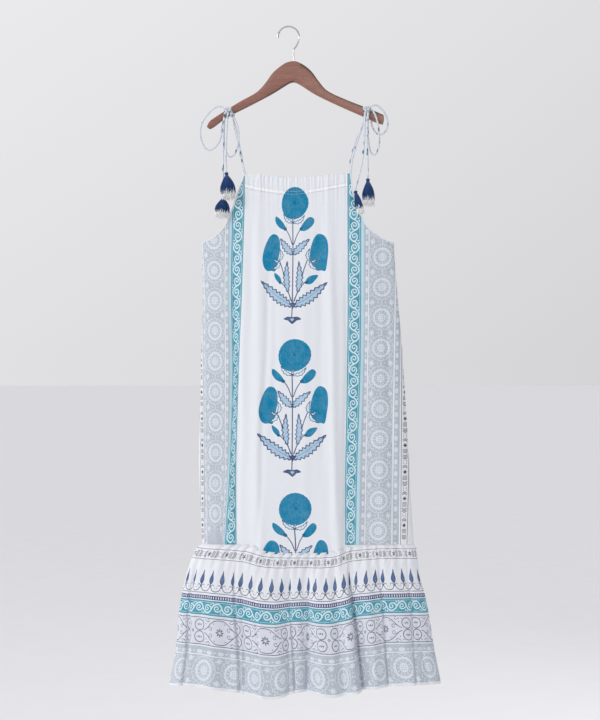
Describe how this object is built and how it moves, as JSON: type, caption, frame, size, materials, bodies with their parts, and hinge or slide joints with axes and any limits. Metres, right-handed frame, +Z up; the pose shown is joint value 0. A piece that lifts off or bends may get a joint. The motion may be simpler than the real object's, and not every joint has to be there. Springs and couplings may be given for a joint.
{
  "type": "printed sundress on a clothes hanger",
  "caption": "Sleeveless cotton sundress with tied cord straps, tassels, gathered neck and gathered hem tier, hung flat on a wooden hanger with a wire hook.",
  "frame": {"origin": "underside of the hanger hook's crown, where it rests on a pin or rail", "axes": "+Z up, +X to the viewer's right, the dress faces -Y"},
  "size_m": [0.6162, 0.0977, 1.5158],
  "materials": {
    "printed_voile": "white cotton voile, block printed in teal, blue and grey",
    "white_voile": "plain white cotton voile",
    "printed_cord": "narrow cotton cord with small grey and blue printed flecks",
    "navy_cotton": "loose navy cotton thread",
    "white_cotton": "loose white cotton thread",
    "lacquered_wood": "stained and lacquered wood, satin",
    "chromed_wire": "bright chromed steel wire"
  },
  "bodies": {
    "root": {"body_front": "printed_voile", "body_back": "printed_voile", "tier_front": "printed_voile", "tier_back": "printed_voile", "neck_frill_front": "white_voile", "neck_frill_back": "white_voile", "neck_casing_front": "white_voile", "neck_casing_back": "white_voile", "armhole_binding_left": "white_voile", "armhole_binding_right": "white_voile", "strap_front_left": "printed_cord", "strap_back_left": "printed_cord", "strap_front_right": "printed_cord", "strap_back_right": "printed_cord", "loop_outer_left": "printed_cord", "loop_inner_left": "printed_cord", "loop_outer_right": "printed_cord", "loop_inner_right": "printed_cord", "tail_left_long": "printed_cord", "tail_left_short": "printed_cord", "tail_right_long": "printed_cord", "tail_right_short": "printed_cord", "bow_wrap_left": "printed_cord", "bow_wrap_right": "printed_cord", "bow_knot_left": "printed_cord", "bow_knot_right": "printed_cord", "tassel_left_long": "navy_cotton", "tassel_left_short": "navy_cotton", "tassel_right_long": "navy_cotton", "tassel_right_short": "navy_cotton", "tassel_left_long_tuft": "white_cotton", "tassel_left_short_tuft": "white_cotton", "tassel_right_long_tuft": "white_cotton", "tassel_right_short_tuft": "white_cotton", "hanger_wood": "lacquered_wood", "hanger_hook": "chromed_wire", "hook_sleeve": "chromed_wire"}
  },
  "joints": []
}
